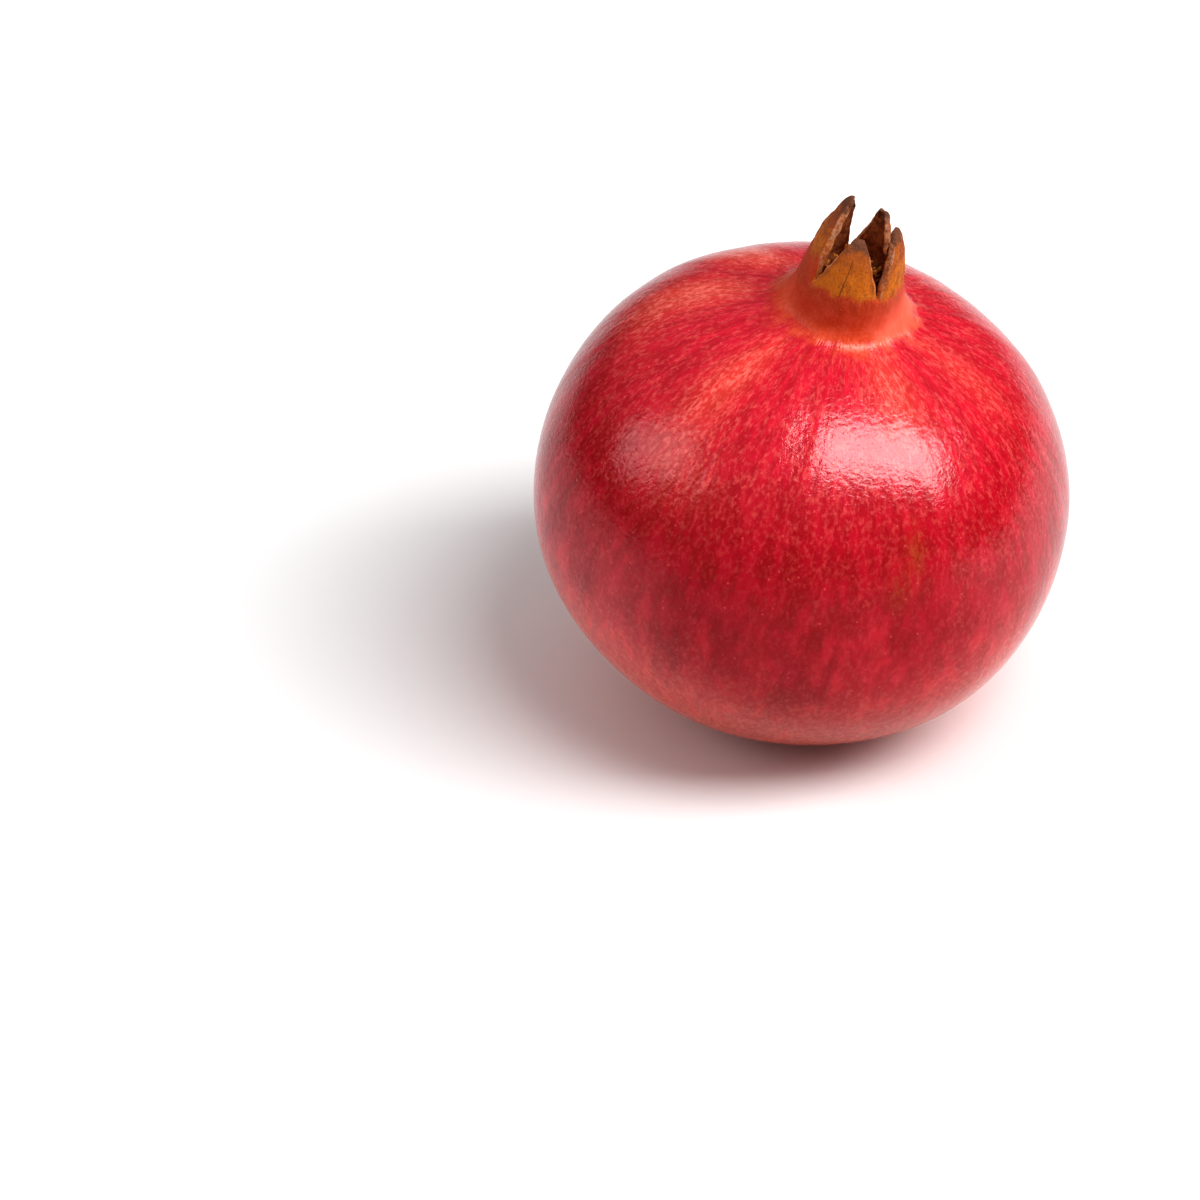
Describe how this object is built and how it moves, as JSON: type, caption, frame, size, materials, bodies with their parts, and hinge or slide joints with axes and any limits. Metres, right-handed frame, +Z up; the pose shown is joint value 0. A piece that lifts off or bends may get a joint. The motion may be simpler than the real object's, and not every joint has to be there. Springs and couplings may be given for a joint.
{
  "type": "pomegranate",
  "caption": "Whole ripe pomegranate with a broad ribbed red body, a short neck and a pointed brown crown round dried stamens, resting on a small flat spot",
  "frame": {"origin": "the middle of the flat spot that the fruit rests on", "axes": "+Z up as it rests; the crown leans 12 degrees from it, towards +X and -Y; -Y is the side that is seen first"},
  "size_m": [0.0899, 0.0899, 0.1002],
  "materials": {
    "rind": "waxy, half gloss, red with paler flecks; the crown dry and brown",
    "stamens": "dry, crumbly, golden brown",
    "stalk": "dry cut wood"
  },
  "bodies": {
    "root": {"fruit": "rind", "stamens": "stamens", "stem_stub": "stalk"}
  },
  "joints": []
}
